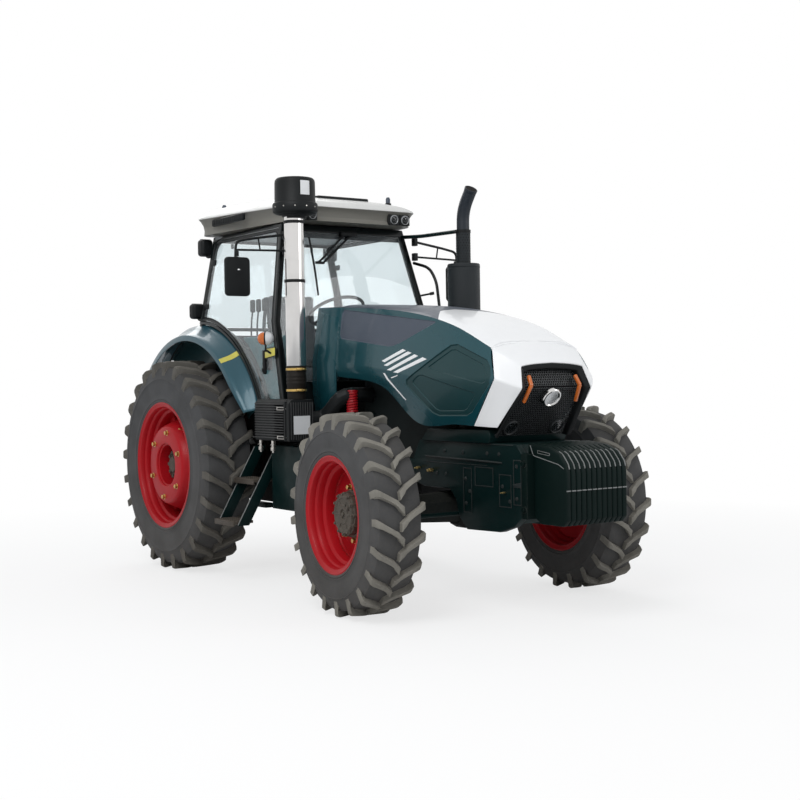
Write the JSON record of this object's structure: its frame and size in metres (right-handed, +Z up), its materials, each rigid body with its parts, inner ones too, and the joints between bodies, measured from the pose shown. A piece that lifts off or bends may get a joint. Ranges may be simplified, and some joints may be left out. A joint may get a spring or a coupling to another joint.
{
  "type": "farm tractor",
  "caption": "Four-wheel-drive farm tractor with glazed cab, tilting bonnet, front ballast, side air intake and exhaust stacks, and a rear three-point hitch",
  "frame": {"origin": "on the floor, under the middle of the machine's overall box", "axes": "+X forward, +Y to the tractor's left, +Z up"},
  "size_m": [5.0499, 2.2967, 2.9764],
  "materials": {
    "black_paint": "satin",
    "black_plastic": "matte",
    "cast_iron": "matte",
    "chrome": "polished",
    "glass": "clear",
    "red_paint": "gloss",
    "roof_paint": "satin",
    "rubber": "matte",
    "seat_fabric": "woven",
    "steel": "brushed",
    "teal_paint": "gloss",
    "tyre": "matte",
    "white_paint": "gloss"
  },
  "bodies": {
    "chassis": {"air_cleaner": "black_plastic", "battery_box": "black_paint", "cab_floor": "black_plastic", "cab_frame": "black_paint", "cab_roof": "roof_paint", "cowl": "teal_paint", "drawbar": "steel", "drive_shaft": "black_paint", "engine_block": "cast_iron", "exhaust": "black_paint", "fender_left": "teal_paint", "fender_right": "teal_paint", "front_axle": "cast_iron", "front_frame": "cast_iron", "front_weights": "cast_iron", "fuel_tank": "black_plastic", "gearbox_housing": "cast_iron", "intake_hose": "rubber", "intake_stack": "chrome", "link_pins": "steel", "mirrors": "black_plastic", "pre_cleaner": "black_plastic", "pto_shaft": "steel", "radiator": "black_paint", "rear_axle": "cast_iron", "rocker_case": "cast_iron", "seat": "seat_fabric", "side_console": "black_plastic", "steering_column": "black_plastic", "steps": "black_paint", "top_link_bracket": "cast_iron", "windscreen": "glass", "work_lamps": "black_plastic"},
    "rear_wheel_left": {"rear_tyre_left": "tyre", "rear_rim_left": "red_paint"},
    "rear_wheel_right": {"rear_tyre_right": "tyre", "rear_rim_right": "red_paint"},
    "front_wheel_left": {"front_tyre_left": "tyre", "front_rim_left": "red_paint"},
    "front_wheel_right": {"front_tyre_right": "tyre", "front_rim_right": "red_paint"},
    "knuckle_left": {"knuckle_left": "cast_iron"},
    "knuckle_right": {"knuckle_right": "cast_iron"},
    "steering_rod": {"steering_rod": "steel"},
    "hood": {"hood_top": "white_paint", "hood_side_left": "teal_paint", "hood_side_right": "teal_paint", "hood_nose": "white_paint", "grille": "black_plastic"},
    "door_left": {"door_frame_left": "black_paint", "door_glass_left": "glass"},
    "door_right": {"door_frame_right": "black_paint", "door_glass_right": "glass"},
    "rear_window": {"rear_window": "glass"},
    "lower_links": {"lower_links": "black_paint"},
    "lift_arms": {"lift_arms": "black_paint"},
    "lift_rods": {"lift_rods": "steel"},
    "top_link": {"top_link": "black_paint"}
  },
  "joints": [
    {"name": "rear_wheel_left_spin", "type": "hinge", "parent": "chassis", "child": "rear_wheel_left", "pos_m": [-1.475, 0.82, 0.842], "axis": [0, 1, 0], "continuous": true},
    {"name": "rear_wheel_right_spin", "type": "hinge", "parent": "chassis", "child": "rear_wheel_right", "pos_m": [-1.475, -0.82, 0.842], "axis": [0, 1, 0], "continuous": true},
    {"name": "steer_left", "type": "hinge", "parent": "chassis", "child": "knuckle_left", "pos_m": [1.275, 0.7, 0.65], "axis": [0, 0, 1], "range_deg": [-35, 45]},
    {"name": "front_wheel_left_spin", "type": "hinge", "parent": "knuckle_left", "child": "front_wheel_left", "pos_m": [1.29505, 0.92912, 0.65], "axis": [0.0872, 0.9962, 0], "continuous": true},
    {"name": "steer_right", "type": "hinge", "parent": "chassis", "child": "knuckle_right", "pos_m": [1.275, -0.7, 0.65], "axis": [0, 0, 1], "range_deg": [-35, 45]},
    {"name": "front_wheel_right_spin", "type": "hinge", "parent": "knuckle_right", "child": "front_wheel_right", "pos_m": [1.25495, -0.92912, 0.65], "axis": [0.0872, 0.9962, 0], "continuous": true},
    {"name": "steering_rod_slide", "type": "slide", "parent": "chassis", "child": "steering_rod", "axis": [0, 1, 0], "range_m": [-0.15, 0.15]},
    {"name": "hood_tilt", "type": "hinge", "parent": "chassis", "child": "hood", "pos_m": [0.225, 0, 2.07], "axis": [0, -1, 0], "range_deg": [0, 50]},
    {"name": "door_left_swing", "type": "hinge", "parent": "chassis", "child": "door_left", "pos_m": [-1.39, 0.737, 2], "axis": [0, 0, 1], "range_deg": [0, 70]},
    {"name": "door_right_swing", "type": "hinge", "parent": "chassis", "child": "door_right", "pos_m": [-1.39, -0.737, 2], "axis": [0, 0, -1], "range_deg": [0, 70]},
    {"name": "rear_window_tilt", "type": "hinge", "parent": "chassis", "child": "rear_window", "pos_m": [-1.463, 0, 2.636], "axis": [0, 1, 0], "range_deg": [0, 40]},
    {"name": "lower_link_lift", "type": "hinge", "parent": "chassis", "child": "lower_links", "pos_m": [-1.625, 0, 0.48], "axis": [0, 1, 0], "range_deg": [-16, 28]},
    {"name": "lift_arm_rock", "type": "hinge", "parent": "chassis", "child": "lift_arms", "pos_m": [-1.705, 0, 1.13], "axis": [0, 1, 0], "range_deg": [-22, 36]},
    {"name": "lift_rod_swing", "type": "hinge", "parent": "lift_arms", "child": "lift_rods", "pos_m": [-2.085, 0, 1.105], "axis": [0, 1, 0], "range_deg": [-36, 22]},
    {"name": "top_link_swing", "type": "hinge", "parent": "chassis", "child": "top_link", "pos_m": [-1.86, 0, 0.96], "axis": [0, 1, 0], "range_deg": [-75, 0]}
  ],
  "couplings": [
    {"joint": "steer_right", "follows": "steer_left", "ratio": 1},
    {"joint": "steering_rod_slide", "follows": "steer_left", "m_per_rad": 0.1841},
    {"joint": "lift_arm_rock", "follows": "lower_link_lift", "ratio": 1.21},
    {"joint": "lift_rod_swing", "follows": "lower_link_lift", "ratio": -1.21}
  ]
}
